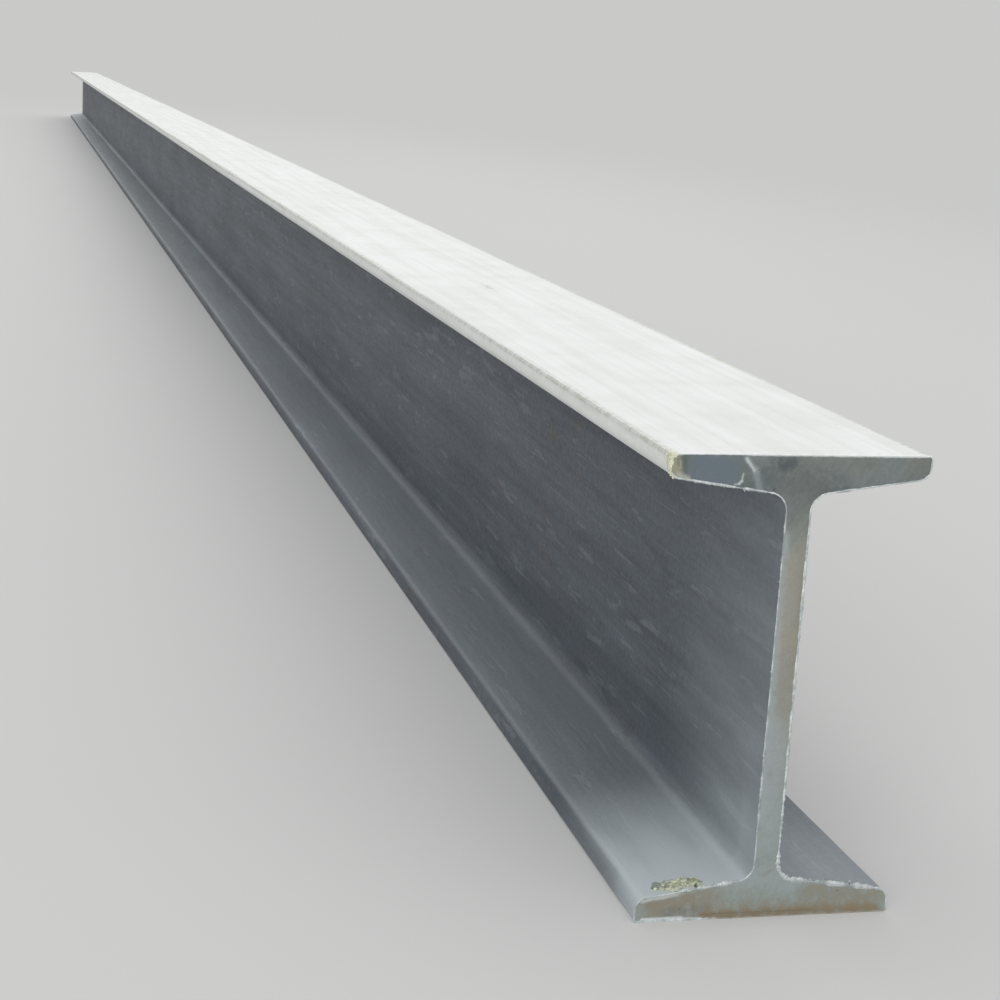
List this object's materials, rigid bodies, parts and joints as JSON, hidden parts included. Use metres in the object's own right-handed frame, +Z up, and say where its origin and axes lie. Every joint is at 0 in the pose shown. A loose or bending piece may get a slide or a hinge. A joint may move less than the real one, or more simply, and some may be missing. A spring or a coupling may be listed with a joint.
{
  "type": "steel i-beam",
  "caption": "Hot-rolled steel I-beam with tapered flanges, rounded web roots and square sawn ends, one stock length.",
  "frame": {"origin": "under the middle of the beam's length, on the outer face of the flange it stands on", "axes": "+Z up, from the lower flange to the upper one; +Y along the beam; +X across the flanges"},
  "size_m": [0.08, 6, 0.14],
  "materials": {
    "rolled_steel": "blue-grey mill scale, with bare sawn ends"
  },
  "bodies": {
    "root": {"i_beam": "rolled_steel"}
  },
  "joints": []
}
